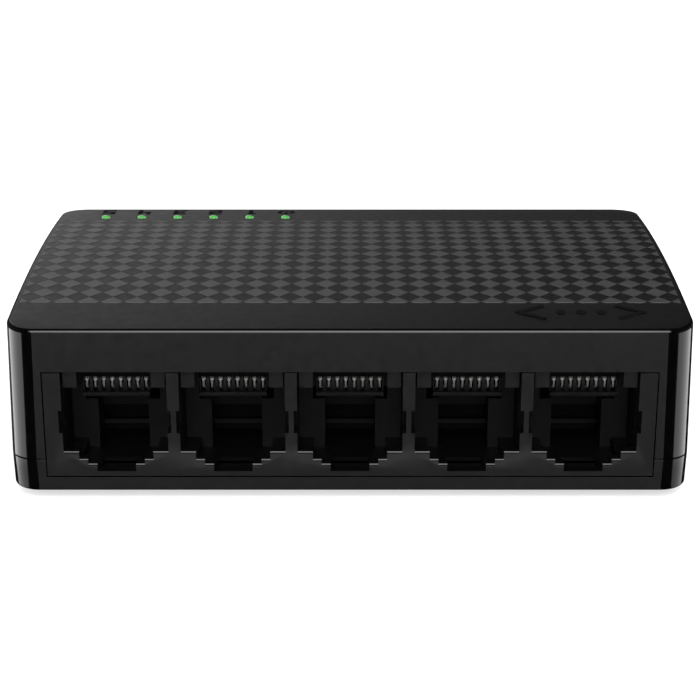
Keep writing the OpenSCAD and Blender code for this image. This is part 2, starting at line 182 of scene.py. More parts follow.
# Lights and the guide below them
LIGHTS = range(6)
LIGHT_PITCH = 5.0
LIGHT_X = -9.0
LIGHT_Y = REAR - 6.6
LENS_R = 0.63
LENS_GAP = 0.05
LENS_BEVEL = 0.12
LENS_PROUD = 0.02
LENS_DOME = 0.3
LENS_LIT = 0.6
GUIDE_POST_R = 0.9
GUIDE_TAPER = (12.6, 13.4)
GUIDE_BAR_HALF = 0.7
GUIDE_BAR_Z = (13, 14.2)

INLET_X = (inlet_low.x + inlet_high.x) / 2
INLET_Z = board_high.z + 6.5
INLET_HOLE_R = 4.0
INLET_HOLE_EASE = 0.25

# Diamonds of the roof: a square lattice turned by 45 degrees
DIAMOND = 2.876
DIAMOND_ROW = FRONT + 11.03
DIAMOND_ROWS = range(-2, 12)
DIAMOND_COLUMNS = range(-15, 16)
BAND_FRONT = FRONT + 7.75
BAND_REAR = FRONT + 42.5
BAND_SIDE = HALF_W - 1.05
PAD_GAP = 0.02
PAD_RISE = 0.04
PAD_ROOT = 0.01
PAD_SLOPE = 0.06
PAD_LEAST_AREA = 0.12

# Digits and signs on the roof
MARK_Y = REAR - 2.8
MARK_RISE = 0.02
DIGIT_SIZE = 1.2
DIGIT_STROKE = 0.5
POWER_STROKE = 0.46
SIGN_AT = (27.5, FRONT + 4.9)
SIGN_RISE = 0.12
SIGN_STROKE = 0.62
SIGN_ARROW = (7.4, 4.6, 1.7)
SIGN_DOTS = (-2.4, 0, 2.4)


def port_x(port):
    """The middle of a port."""
    return (port - 3) * PORT_PITCH


def wire_x(port, wire):
    """The middle of one of the eight wires of a port."""
    return port_x(port) + (wire - 3.5) * WIRE_PITCH


def arch(y):
    """Height of the roof at depth y. Its raised diamonds reach the height of the CAD roof."""
    return ROOF - PAD_RISE - ARCH_R + math.sqrt(ARCH_R ** 2 - y ** 2)


def light_x(light):
    return LIGHT_X - light * LIGHT_PITCH


# ---------------------------------------------------------------- materials

MOTTLE_SCALE = 900
WAVE_SCALE = 220
GRAIN_DEPTH = 0.00002
WAVE_DEPTH = 0.0001


def new_material(name):
    """A material with its nodes, links and Principled shader."""
    material = bpy.data.materials.new(name)
    material.use_nodes = True
    tree = material.node_tree
    return material, tree.nodes, tree.links, tree.nodes["Principled BSDF"]


def noise(nodes, links, scale, detail=2.0, rough=0.5):
    """A noise texture in object space, one cycle per 1/scale metres."""
    place = nodes.new("ShaderNodeTexCoord")
    texture = nodes.new("ShaderNodeTexNoise")
    texture.inputs["Scale"].default_value = scale
    texture.inputs["Detail"].default_value = detail
    texture.inputs["Roughness"].default_value = rough
    links.new(place.outputs["Object"], texture.inputs["Vector"])
    return texture


def spread(nodes, links, source, low, high):
    """Maps a texture's middle range to low..high."""
    node = nodes.new("ShaderNodeMapRange")
    node.inputs["From Min"].default_value = 0.3
    node.inputs["From Max"].default_value = 0.7
    node.inputs["To Min"].default_value = low
    node.inputs["To Max"].default_value = high
    links.new(source, node.inputs["Value"])
    return node.outputs["Result"]


def tint(nodes, links, source, dark, light):
    """Maps a texture's middle range to colours from dark to light."""
    ramp = nodes.new("ShaderNodeValToRGB")
    ramp.color_ramp.elements[0].position = 0.32
    ramp.color_ramp.elements[0].color = (*dark, 1)
    ramp.color_ramp.elements[1].position = 0.68
    ramp.color_ramp.elements[1].color = (*light, 1)
    links.new(source, ramp.inputs["Fac"])
    return ramp.outputs["Color"]


def bump(nodes, links, height, strength, distance, normal=None):
    node = nodes.new("ShaderNodeBump")
    node.inputs["Strength"].default_value = strength
    node.inputs["Distance"].default_value = distance
    links.new(height, node.inputs["Height"])
    if normal is not None:
        links.new(normal, node.inputs["Normal"])
    return node.outputs["Normal"]


def surface(name, dark, light, rough, grain, grain_scale, metallic=0.0, specular=0.5, wave=0.0):
    """A moulded or metal surface: mottled colour, uneven gloss, fine grain and a slow waviness."""
    material, nodes, links, shader = new_material(name)
    mottle = noise(nodes, links, MOTTLE_SCALE, 3.0)
    fine = noise(nodes, links, grain_scale, 2.0, 0.6)
    links.new(tint(nodes, links, mottle.outputs["Fac"], dark, light), shader.inputs["Base Color"])
    links.new(spread(nodes, links, mottle.outputs["Fac"], *rough), shader.inputs["Roughness"])
    shader.inputs["Metallic"].default_value = metallic
    shader.inputs["Specular IOR Level"].default_value = specular
    normal = bump(nodes, links, fine.outputs["Fac"], grain, GRAIN_DEPTH)
    if wave:
        slow = noise(nodes, links, WAVE_SCALE, 1.0)
        normal = bump(nodes, links, slow.outputs["Fac"], wave, WAVE_DEPTH, normal)
    links.new(normal, shader.inputs["Normal"])
    return material


def grey(value):
    return (value, value, value)


def lens_material():
    """Green lit end of a light post: bright in the middle, deeper green at the rim."""
    material, nodes, links, shader = new_material("lens_green")
    facing = nodes.new("ShaderNodeLayerWeight")
    facing.inputs["Blend"].default_value = 0.4
    cloud = noise(nodes, links, 1500)
    glow = tint(nodes, links, facing.outputs["Facing"], (0.10, 0.47, 0.10), (0.01, 0.12, 0.01))
    links.new(glow, shader.inputs["Emission Color"])
    shader.inputs["Emission Strength"].default_value = 0.62
    links.new(tint(nodes, links, cloud.outputs["Fac"], (0.05, 0.2, 0.05), (0.08, 0.3, 0.07)),
              shader.inputs["Base Color"])
    links.new(spread(nodes, links, cloud.outputs["Fac"], 0.12, 0.2), shader.inputs["Roughness"])
    shader.inputs["Coat Weight"].default_value = 0.5
    return material


def board_material():
    """Solder mask over copper: traces show as lighter lines."""
    material, nodes, links, shader = new_material("board_mask")
    place = nodes.new("ShaderNodeTexCoord")
    traces = nodes.new("ShaderNodeTexBrick")
    traces.inputs["Scale"].default_value = 260
    traces.inputs["Mortar Size"].default_value = 0.03
    traces.inputs["Color1"].default_value = (0.008, 0.06, 0.022, 1)
    traces.inputs["Color2"].default_value = (0.010, 0.075, 0.028, 1)
    traces.inputs["Mortar"].default_value = (0.02, 0.14, 0.05, 1)
    links.new(place.outputs["Object"], traces.inputs["Vector"])
    links.new(traces.outputs["Color"], shader.inputs["Base Color"])
    fine = noise(nodes, links, 3000)
    links.new(spread(nodes, links, fine.outputs["Fac"], 0.25, 0.4), shader.inputs["Roughness"])
    links.new(bump(nodes, links, traces.outputs["Fac"], 0.3, 0.00003), shader.inputs["Normal"])
    return material


GLOSS = surface("case_gloss", grey(0.0008), grey(0.0014), (0.08, 0.12), 0.04, 4000, wave=0.02)
FACE = surface("case_face", grey(0.0105), grey(0.0125), (0.38, 0.46), 0.3, 9000)
MATTE = surface("case_matte", grey(0.0025), grey(0.0035), (0.42, 0.50), 0.5, 9000)
PAD = surface("case_pad", grey(0.041), grey(0.048), (0.44, 0.54), 0.6, 8000, specular=0.9)
SATIN = surface("jack_satin", grey(0.0105), grey(0.0125), (0.36, 0.44), 0.2, 7000)
# Painted shade: a near-black colour, darker than the housing's plastic, for the shaded walls deep
# inside the ports.
PAINTED_SHADE = surface("jack_inside_painted_shade", grey(0.0008), grey(0.0016), (0.5, 0.6), 0.2, 7000, specular=0.2)
INSERT = surface("insert_satin", grey(0.006), grey(0.009), (0.4, 0.5), 0.2, 7000)
WIRE = surface("wire_bright", (0.23, 0.227, 0.221), (0.28, 0.276, 0.268), (0.3, 0.4), 0.1, 9000,
               metallic=0.5)
PLATED = surface("plated_bright", (0.62, 0.62, 0.60), (0.72, 0.72, 0.70), (0.16, 0.26), 0.1, 6000,
                 metallic=1.0)
STEEL = surface("screw_zinc", (0.45, 0.45, 0.46), (0.58, 0.58, 0.58), (0.28, 0.42), 0.2, 5000,
                metallic=1.0)
RUBBER = surface("foot_rubber", grey(0.012), grey(0.020), (0.75, 0.9), 0.8, 6000, specular=0.3)
# Black ink for the printed marks; the same ink is laid on the side fillets of the roof as painted
# shade.
INK_AND_SHADE = surface("ink_black_and_painted_shade", grey(0.0005), grey(0.0010), (0.6, 0.7), 0.1, 8000, specular=0.03)
# Painted shade: the lip and teeth of the comb are the housing's plastic, coloured darker for the
# shade in the recess behind the tabs.
COMB_PAINTED_SHADE = surface("jack_comb_painted_shade", grey(0.0040), grey(0.0060), (0.4, 0.5), 0.2, 7000, specular=0.3)
GLYPH = surface("glyph_gloss", grey(0.0012), grey(0.002), (0.12, 0.2), 0.05, 6000)
LABEL = surface("label_film", grey(0.40), grey(0.45), (0.4, 0.5), 0.1, 7000)
EPOXY = surface("chip_epoxy", grey(0.010), grey(0.018), (0.55, 0.7), 0.7, 9000)
CAN = surface("can_metal", grey(0.55), grey(0.65), (0.25, 0.35), 0.2, 4000, metallic=1.0)
CERAMIC = surface("ceramic_tan", (0.35, 0.24, 0.14), (0.46, 0.33, 0.2), (0.4, 0.55), 0.3, 8000)
FERRITE = surface("ferrite_grey", grey(0.05), grey(0.08), (0.5, 0.7), 0.6, 9000)
PACKAGE = surface("led_package", (0.62, 0.66, 0.55), (0.72, 0.76, 0.66), (0.3, 0.4), 0.1, 8000)
GUIDE = surface("guide_clear", (0.30, 0.55, 0.32), (0.36, 0.62, 0.38), (0.1, 0.18), 0.05, 4000)
LENS = lens_material()
BOARD = board_material()

NODE_MATERIALS = {
    "case_screws": STEEL, "rating_label": LABEL, "circuit_board": BOARD,
    "power_jack_housing": SATIN, "power_jack_pin": PLATED, "power_jack_contact": PLATED,
    "power_jack_spring": PLATED, "port_leds": PACKAGE, "power_led": PACKAGE,
    "switch_chip": EPOXY, "crystal": CAN, "rectifier_diode": EPOXY, "regulator": EPOXY,
    "power_inductor": FERRITE, "input_capacitors": CAN, "chip_capacitors": CERAMIC,
    "chip_resistors": EPOXY,
}
# The CAD nodes that show as they are
for port in PORTS:
    NODE_MATERIALS[f"port_{port}_insert"] = INSERT
    NODE_MATERIALS[f"isolation_transformer_{port}"] = EPOXY
for node, material in NODE_MATERIALS.items():
    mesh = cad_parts[node].data
    mesh.materials.clear()
    mesh.materials.append(material)


# ---------------------------------------------------------------- mesh tools

def make(name, verts, faces, *materials):
    """A mesh object from points in millimetres."""
    mesh = bpy.data.meshes.new(name)
    mesh.from_pydata([Vector(v) * MM for v in verts], [], faces)
    for material in materials:
        mesh.materials.append(material)
    piece = bpy.data.objects.new(name, mesh)
    bpy.context.scene.collection.objects.link(piece)
    return piece


def tidy_mesh(piece, sharp_angle=32):
    """Consistent outward normals and creases at the sharp edges."""
    work = bmesh.new()
    work.from_mesh(piece.data)
    bmesh.ops.recalc_face_normals(work, faces=work.faces)
    work.to_mesh(piece.data)
    work.free()
    piece.data.shade_smooth()
    piece.data.set_sharp_from_angle(angle=math.radians(sharp_angle))


def join(name, pieces):
    """Joins pieces into the first one, with all their materials."""
    with bpy.context.temp_override(active_object=pieces[0], selected_editable_objects=pieces):
        bpy.ops.object.join()
    pieces[0].name = name
    pieces[0].data.name = name
    return pieces[0]


def cut(piece, cutter):
    """Takes the cutter's volume out of the piece."""
    modifier = piece.modifiers.new("cut", "BOOLEAN")
    modifier.operation = "DIFFERENCE"
    modifier.solver = "EXACT"
    modifier.object = cutter
    graph = bpy.context.evaluated_depsgraph_get()
    mesh = bpy.data.meshes.new_from_object(piece.evaluated_get(graph))
    piece.modifiers.clear()
    old = piece.data
    piece.data = mesh
    mesh.name = piece.name
    bpy.data.meshes.remove(old)
    bpy.data.objects.remove(cutter)


def settle(piece, body, slot, *nodes):
    """Puts a piece on its body, and hides the CAD nodes that it stands for."""
    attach(piece, body)
    if nodes:
        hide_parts(*nodes)


def grown(outline, by):
    """The outline moved outwards, corners kept sharp. Its points run anticlockwise."""
    moved = []
    count = len(outline)
    for i in range(count):
        before, here, after = (Vector(outline[(i + k) % count]) for k in (-1, 0, 1))
        a = (here - before).normalized()
        b = (after - here).normalized()
        na = Vector((a.y, -a.x))
        nb = Vector((b.y, -b.x))
        moved.append(here + (na + nb) * by / (1 + na.dot(nb)))
    return moved


def sides(count, layers):
    """Quads between neighbouring layers of count points each."""
    faces = []
    for layer in range(layers - 1):
        for i in range(count):
            a = layer * count + i
            b = layer * count + (i + 1) % count
            faces.append((a, b, b + count, a + count))
    return faces


def loft(name, layers, place, *materials):
    """A closed solid through layers of (outline, depth). place(u, v, depth) gives each point."""
    count = len(layers[0][0])
    verts = [place(u, v, depth) for outline, depth in layers for u, v in outline]
    faces = [tuple(range(count)), tuple(range(len(verts) - count, len(verts)))]
    piece = make(name, verts, faces + sides(count, len(layers)), *materials)
    tidy_mesh(piece)
    return piece


def from_front(u, v, depth):
    """An outline drawn on the front wall, its depth measured inwards."""
    return (u, FRONT + depth, v)


def upright(u, v, depth):
    """An outline drawn in plan, its depth being the height."""
    return (u, v, depth)


def rectangle(u, v):
    return [(u[0], v[0]), (u[1], v[0]), (u[1], v[1]), (u[0], v[1])]


def rounded(u, v, radius, steps=6):
    """A rectangle with round corners."""
    points = []
    for k, (cu, cv) in enumerate(((u[1], v[1]), (u[0], v[1]), (u[0], v[0]), (u[1], v[0]))):
        cu += radius if k in (1, 2) else -radius
        cv += radius if k in (2, 3) else -radius
        for i in range(steps + 1):
            angle = math.radians(90 * k + 90 * i / steps)
            points.append((cu + radius * math.cos(angle), cv + radius * math.sin(angle)))
    return points


def circle(u, v, radius, steps):
    return [(u + radius * math.cos(2 * math.pi * i / steps),
             v + radius * math.sin(2 * math.pi * i / steps)) for i in range(steps)]


def bar(name, x, y, z, edge, *materials):
    """A block with its edges eased by a chamfer."""
    small = rectangle((x[0] + edge, x[1] - edge), (y[0] + edge, y[1] - edge))
    full = rectangle(x, y)
    layers = [(small, z[0]), (full, z[0] + edge), (full, z[1] - edge), (small, z[1])]
    return loft(name, layers, upright, *materials)


def block(name, x, y, z, *materials):
    return loft(name, [(rectangle(x, y), z[0]), (rectangle(x, y), z[1])], upright, *materials)


def lathe(name, profile, place, steps, *materials):
    """A body of revolution. The profile is a list of (radius, depth), from one end to the other."""
    layers = [(circle(0, 0, radius, steps), depth) for radius, depth in profile]
    return loft(name, layers, place, *materials)


def quarter(steps):
    """The angles of a quarter turn, both ends included."""
    return [math.radians(90 * i / steps) for i in range(steps + 1)]


# ---------------------------------------------------------------- the two shells

def rows(inset):
    """Half width and Y of each row across the case, from front to rear."""
    rf = CORNER_FRONT - inset
    rr = CORNER_REAR - inset
    half = HALF_W - inset
    front = FRONT + inset
    rear = REAR - inset
    turns = quarter(CORNER_STEPS)
    found = [(half - rf + rf * math.sin(t), front + rf - rf * math.cos(t)) for t in turns]
    low, high = FRONT + CORNER_FRONT, REAR - CORNER_REAR
    found += [(half, low + (high - low) * i / SIDE_STEPS) for i in range(1, SIDE_STEPS)]
    found += [(half - rr + rr * math.cos(t), rear - rr + rr * math.sin(t)) for t in turns]
    return found


def leaning(x, y, z):
    """A point of the outline, drawn in because the walls lean in from the seam."""
    if z > SEAM:
        lean = LEAN_TOP * (z - SEAM) / (EDGE - SEAM)
    else:
        lean = LEAN_LOW * (SEAM - z) / (SEAM - BASE)
    return (x * (1 - lean / HALF_W), y, z)


# Places of the points along the front and rear edge, as parts of their half width
COLUMNS = [k / 8 for k in range(-8, 9)]


def ring(inset, height):
    """Points once round the case, anticlockwise from the front left corner."""
    found = rows(inset)
    last = len(found) - 1
    points = [(c * found[0][0], found[0][1]) for c in COLUMNS]
    points += [found[i] for i in range(1, last)]
    points += [(c * found[last][0], found[last][1]) for c in reversed(COLUMNS)]
    points += [(-found[i][0], found[i][1]) for i in range(last - 1, 0, -1)]
    return [leaning(x, y, height(y)) for x, y in points]


def cap(inset, height, start, edge_start):
    """Quads that close the ring at edge_start. New points get numbers from start."""
    found = rows(inset)
    count = len(COLUMNS)
    last = len(found) - 1
    verts = []
    index = {}
    for k in range(count):
        index[0, k] = edge_start + k
        index[last, k] = edge_start + count + last - 1 + (count - 1 - k)
    total = 2 * count + 2 * (last - 1)
    for i in range(1, last):
        index[i, count - 1] = edge_start + count + i - 1
        index[i, 0] = edge_start + total - i
        for k in range(1, count - 1):
            index[i, k] = start + len(verts)
            half, y = found[i]
            verts.append(leaning(COLUMNS[k] * half, y, height(y)))
    faces = [(index[i, k], index[i, k + 1], index[i + 1, k + 1], index[i + 1, k])
             for i in range(last) for k in range(count - 1)]
    return verts, faces


def shell(name, rings, *materials):
    """A closed tray through rings of (inset, height of y), with a cap over the first and last."""
    count = len(ring(*rings[0]))
    verts = []
    for inset, height in rings:
        verts += ring(inset, height)
    faces = sides(count, len(rings))
    for inset_height, edge_start in ((rings[0], 0), (rings[-1], (len(rings) - 1) * count)):
        more, quads = cap(*inset_height, len(verts), edge_start)
        verts += more
        faces += quads
    piece = make(name, verts, faces, *materials)
    tidy_mesh(piece, 30)
    return piece


def level(z):
    """The same height at every y."""
    return lambda y: z


def below_arch(drop):
    """A height that follows the roof."""
    return lambda y: arch(y) - drop


def fillet(radius, height):
    """Rings round a fillet, from the flat face to the wall. height(away) is a height function."""
    return [(radius * (1 - math.sin(t)), height(radius * (1 - math.cos(t))))
            for t in quarter(FILLET_STEPS)]


def wall(sign, inner):
    """Rings from the outside of the wall round its edge at the seam and on to the inner face."""
    edge = SEAM + sign * SEAM_GAP
    return [(0, level(edge + sign * SEAM_EASE)), (SEAM_EASE, level(edge)), (WALL, level(edge)),
            (WALL, inner)]


def window_outline():
    """The edge of the port window in the case, tabs included, seen from the front."""
    points = [(-WINDOW_HALF, WINDOW_LOW), (WINDOW_HALF, WINDOW_LOW), (WINDOW_HALF, WINDOW_TOP)]
    for port in reversed(PORTS):
        for x, z in ((TAB_OUT, WINDOW_TOP), (TAB_OUT, TAB_LOW), (TAB_IN, TAB_LOW),
                     (TAB_IN, WINDOW_TOP), (-TAB_IN, WINDOW_TOP), (-TAB_IN, TAB_LOW),
                     (-TAB_OUT, TAB_LOW), (-TAB_OUT, WINDOW_TOP)):
            points.append((port_x(port) + x, z))
    return points + [(-WINDOW_HALF, WINDOW_TOP)]


def cut_window(piece):
    """The window, a hair larger than what fills it. Its tabs start a little behind the face."""
    slack = 0.1
    plain = grown(rectangle((-WINDOW_HALF, WINDOW_HALF), (WINDOW_LOW, WINDOW_TOP)), slack)
    cut(piece, loft("window", [(plain, -1), (plain, TAB_DEPTH)], from_front))
    outline = grown(window_outline(), slack)
    cut(piece, loft("window", [(outline, TAB_DEPTH - 0.5), (outline, WALL + 0.1)], from_front))


FRONT_FLAT = HALF_W - CORNER_FRONT
REAR_FLAT = HALF_W - CORNER_REAR


def on_flat_wall(face):
    """Whether a face lies on the plain part of the front or rear wall, between the corners."""
    x, y = face.center.x / MM, face.center.y / MM
    if face.normal.y < -0.99:
        return y < FRONT + TAB_DEPTH + 0.01 and abs(x) < FRONT_FLAT
    return face.normal.y > 0.99 and y > REAR - 0.01 and abs(x) < REAR_FLAT


def cut_light_hole(piece, light):
    """A hole for a lens, with its edge eased at the roof."""
    x = light_x(light)
    z = arch(LIGHT_Y)
    narrow = circle(x, LIGHT_Y, LENS_R + LENS_GAP, 32)
    wide = circle(x, LIGHT_Y, LENS_R + LENS_GAP + LENS_BEVEL, 32)
    cut(piece, loft("hole", [(narrow, z - 3), (narrow, z - 0.08), (wide, z + 0.04), (wide, z + 1)],
                    upright))


def build_top_shell():
    piece = shell("top_shell", fillet(ROOF_FILLET, below_arch) + wall(1, below_arch(WALL)),
                  GLOSS, MATTE, FACE, INK_AND_SHADE)
    cut_window(piece)
    for light in LIGHTS:
        cut_light_hole(piece, light)
    wide = INLET_HOLE_R + INLET_HOLE_EASE
    hole = [(wide, -1), (wide, 0), (INLET_HOLE_R, INLET_HOLE_EASE), (INLET_HOLE_R, WALL + 0.5)]
    cut(piece, lathe("hole", hole, lambda u, v, d: (INLET_X + u, REAR - d, INLET_Z + v), 64))
    tidy_mesh(piece, 30)
    roof_faces(piece)
    settle(piece, "case", "case_plastic", "top_cover")


def roof_faces(piece):
    """The roof is matte inside its side fillets, which take the near-black, unreflecting ink as
    painted shade; the flat walls satin, the rest glossy.
    """
    for face in piece.data.polygons:
        centre = face.center / MM
        if face.normal.z > 0.985 and centre.z > arch(centre.y) - 0.06:
            face.material_index = 1
        elif on_flat_wall(face):
            face.material_index = 2
        # Painted shade: the side fillets of the roof take the near-black ink.
        elif abs(face.normal.x) > 0.2 and centre.z > arch(centre.y) - ROOF_FILLET:
            face.material_index = 3


def cut_foot_hole(piece, x, y):
    wide = FOOT_HOLE_R + FOOT_HOLE_EASE
    profile = [(wide, BASE - 1), (wide, BASE), (FOOT_HOLE_R, BASE + FOOT_HOLE_EASE),
               (FOOT_HOLE_R, BASE + FOOT_HOLE_DEPTH)]
    cut(piece, lathe("hole", profile, lambda u, v, d: (x + u, y + v, d), 64))


def vent_slot(x, y):
    """The cutter of one vent, wider where it leaves the underside."""
    def slot(ease):
        half_w, half_l = VENT_HALF_W + ease, VENT_HALF_L + ease
        return rounded((x - half_w, x + half_w), (y - half_l, y + half_l), VENT_CORNER)
    return loft("slot", [(slot(VENT_EASE), BASE - 1), (slot(VENT_EASE), BASE),
                         (slot(0), BASE + VENT_EASE), (slot(0), FLOOR + 1)], upright)


def base_faces(piece):
    """The underside is matte, the flat walls satin, the rest glossy."""
    for face in piece.data.polygons:
        if face.normal.z < -0.985 and face.center.z < (BASE + 0.3) * MM:
            face.material_index = 1
        elif on_flat_wall(face):
            face.material_index = 2


def build_base_shell():
    piece = shell("base_shell", fillet(BASE_FILLET, lambda rise: level(BASE + rise))
                  + wall(-1, level(FLOOR)), GLOSS, MATTE, FACE)
    cut_window(piece)
    for side in (-1, 1):
        for y in FOOT_YS:
            cut_foot_hole(piece, side * FOOT_X, y)
    for y in VENT_YS:
        cut(piece, join("slots", [vent_slot(i * VENT_PITCH, y) for i in VENT_COLUMNS]))
    plate = rounded((label_low.x - LABEL_MARGIN, label_high.x + LABEL_MARGIN),
                    (label_low.y - LABEL_MARGIN, label_high.y + LABEL_MARGIN), LABEL_CORNER)
    cut(piece, loft("plate", [(plate, BASE - 1), (plate, BASE + LABEL_DEPTH)], upright))
    tidy_mesh(piece, 30)
    base_faces(piece)
    profile = [(POST_R, FLOOR - 0.2), (POST_R, board_low.z - POST_EASE),
               (POST_R - POST_EASE, board_low.z)]
    posts = [lathe("post", profile, lambda u, v, d: (side * FOOT_X + u, FOOT_REAR_Y + v, d), 48,
                   GLOSS) for side in (-1, 1)]
    settle(join("base_shell", [piece] + posts), "case", "case_plastic", "base_cover")


# ---------------------------------------------------------------- roof relief

def clipped(polygon, low, high):
    """The part of a polygon that lies in a rectangle."""
    for axis in (0, 1):
        for limit, sign in ((low[axis], 1), (high[axis], -1)):
            kept = []
            for i, here in enumerate(polygon):
                after = polygon[(i + 1) % len(polygon)]
                a = (here[axis] - limit) * sign
                b = (after[axis] - limit) * sign
                if a >= 0:
                    kept.append(here)
                if a * b < 0:
                    t = a / (a - b)
                    kept.append(tuple(here[k] + t * (after[k] - here[k]) for k in (0, 1)))
            polygon = kept
    return polygon


def build_roof_pads():
    """Raised diamonds on the roof, cut off at the edges of the band."""
    verts = []
    faces = []
    half = DIAMOND / 2 - PAD_GAP
    for j in DIAMOND_ROWS:
        row = DIAMOND_ROW + j * DIAMOND
        for i in DIAMOND_COLUMNS:
            x = i * DIAMOND
            outline = [(x - half, row), (x, row - half), (x + half, row), (x, row + half)]
            outline = clipped(outline, (-BAND_SIDE, BAND_FRONT), (BAND_SIDE, BAND_REAR))
            if len(outline) < 3 or abs(area(outline)) < PAD_LEAST_AREA:
                continue
            start = len(verts)
            count = len(outline)
            verts += [(u, v, arch(v) - PAD_ROOT) for u, v in outline]
            verts += [(u, v, arch(v) + PAD_RISE) for u, v in shrunk(outline, PAD_SLOPE)]
            faces.append(tuple(range(start + count, start + 2 * count)))
            faces.append(tuple(reversed(range(start, start + count))))
            for k in range(count):
                a, b = start + k, start + (k + 1) % count
                faces.append((a, b, b + count, a + count))
    piece = make("roof_diamonds", verts, faces, PAD)
    tidy_mesh(piece, 20)
    settle(piece, "case", "case_plastic")


def area(outline):
    """The area inside an outline, negative when its points run clockwise."""
    return sum(a[0] * b[1] - a[1] * b[0] for a, b in zip(outline, outline[1:] + outline[:1])) / 2


def shrunk(outline, by):
    """The outline moved inwards, towards its middle. A corner moves 1.4 times as far as a side."""
    cu = sum(p[0] for p in outline) / len(outline)
    cv = sum(p[1] for p in outline) / len(outline)
    moved = []
    for u, v in outline:
        length = math.hypot(u - cu, v - cv)
        keep = max(0.0, 1 - by * 1.4 / length)
        moved.append((cu + (u - cu) * keep, cv + (v - cv) * keep))
    return moved


# ---------------------------------------------------------------- jacks

def mouth_outline(x, drop=0.0):
    """The edge of one port, from the latch slot up and out. Its ledges can be dropped."""
    right = [(LATCH_HALF, LATCH_LOW)]
    for half, height in LEDGES:
        right += [(right[-1][0], height - drop), (half, height - drop)]
    right += [(MOUTH_HALF, NOTCH_Z[0]), (NOTCH_HALF, NOTCH_Z[0]), (NOTCH_HALF, NOTCH_Z[1]),
              (MOUTH_HALF, NOTCH_Z[1]), (MOUTH_HALF, ABOVE_JACK)]
    left = [(-u, v) for u, v in reversed(right)]
    return [(x + u, v) for u, v in right + left]


def cavity_outline(x):
    """The room behind the mouth, with a lower channel in its middle."""
    top = TAB_LOW - 0.05
    return [(x + u, v) for u, v in (
        (-CAVITY_HALF, CAVITY_LOW), (CAVITY_HALF, CAVITY_LOW), (CAVITY_HALF, CAVITY_SIDE_LOW),
        (MOUTH_HALF, CAVITY_SIDE_LOW), (MOUTH_HALF, top), (-MOUTH_HALF, top),
        (-MOUTH_HALF, CAVITY_SIDE_LOW), (-CAVITY_HALF, CAVITY_SIDE_LOW))]


def cut_port(piece, x):
    """Takes out of the housing all that one port leaves open."""
    def hollow(half, y, z):
        cut(piece, block("c", (x - half, x + half), y, z))

    outline = mouth_outline(x)
    eased = mouth_outline(x, LEDGE_DROP)
    cut(piece, loft("c", [(eased, -1), (eased, 0), (outline, LEDGE_EASE), (outline, SKIN + 0.12)],
                    from_front))
    cavity = cavity_outline(x)
    cut(piece, loft("c", [(cavity, SKIN), (cavity, CAVITY_DEPTH)], from_front))
    hollow(NOTCH_HALF, (FRONT + 1, FRONT + NOTCH_DEPTH), NOTCH_Z)
    # The recess between the tabs, the room of the wires and the seat of their carrier
    hollow(RECESS, (FRONT + SKIN, COMB_Y), (TAB_LOW - 1, ABOVE_JACK))
    hollow(RECESS, (COMB_Y - 1, HOUSING_BACK + 1), (TAB_LOW - 1, WIRE_TOP))
    hollow(INSERT_HALF, (FRONT + INSERT_DEPTH, HOUSING_BACK + 1), (INSERT_LOW, WIRE_TOP))
    for heights in POCKETS_Z:
        hollow(POCKET_HALF, (FRONT + CAVITY_DEPTH - 0.5, HOUSING_BACK - POCKET_SKIN), heights)
    hollow(LATCH_ROOM_HALF, (FRONT + 1.4, FRONT + LATCH_ROOM_DEPTH), (1, LATCH_ROOM_TOP))


def housing_faces(piece):
    """Eased edges glossy, front and back wall of the cavities satin, the rest inside near-black as
    painted shade.
    """
    for face in piece.data.polygons:
        y = face.center.y / MM
        if face.normal.y < -0.5 and face.normal.z > 0.3:
            face.material_index = 1
        elif face.normal.y < -0.9 and FRONT + 13 < y < FRONT + 14:
            face.material_index = 0
        # The walls inside the ports take the near-black colour: painted shade.
        elif FRONT + 0.3 < y < HOUSING_BACK - 0.3:
            face.material_index = 2


def build_jack_housing():
    """The ganged housing: five ports, what stands in them, and the ribs behind."""
    piece = bar("jack_housing", (jack_low.x, jack_high.x), (FRONT, HOUSING_BACK),
                (jack_low.z, jack_high.z), 0.04, SATIN, GLOSS, PAINTED_SHADE)
    cut(piece, block("c", (-50, 50), (FRONT - 1, FRONT + WALL + 0.1), (0, WINDOW_LOW + 0.05)))
    extras = []
    for port in PORTS:
        cut_port(piece, port_x(port))
        extras += port_details(port_x(port))
    extras += rear_ribs()
    tidy_mesh(piece, 30)
    housing_faces(piece)
    settle(join("jack_housing", [piece] + extras), "case", "jack_plastic", "rj45_housing")


def port_details(x):
    """End stops in the depth, the lip below the wires, and the teeth between them."""
    made = []
    for side in (-1, 1):
        for inner, heights in ((STOP_IN, STOP_LOW_Z), (STOP_HIGH_IN, STOP_HIGH_Z)):
            across = tuple(sorted((x + side * inner, x + side * STOP_OUT)))
            made.append(bar("stop", across, STOP_Y, heights, DETAIL_EASE, SATIN))
    made.append(bar("lip", (x - COMB_ROOM, x + COMB_ROOM), LIP_Y, LIP_Z, DETAIL_EASE, COMB_PAINTED_SHADE))
    return made + [comb_tooth(x, i) for i in range(-4, 5)]


# Layers of a tooth of the comb: half its width, the depth at which it starts, its height
TOOTH = ((0.26, 3.3, BASE + 11.6), (0.25, 3.3, BASE + 12.2), (0.12, 3.6, BASE + 13.3),
         (0.10, 3.9, WIRE_TOP + TOOTH_SLACK))


def comb_tooth(x, i):
    """A tooth between two wires: narrow at the top, wide where it meets the lip."""
    middle = x + i * WIRE_PITCH
    layers = []
    for half, start, height in TOOTH:
        across = (max(middle - half, x - COMB_ROOM), min(middle + half, x + COMB_ROOM))
        layers.append((rectangle(across, (FRONT + start, COMB_BACK)), height))
    return loft("tooth", layers, upright, COMB_PAINTED_SHADE)


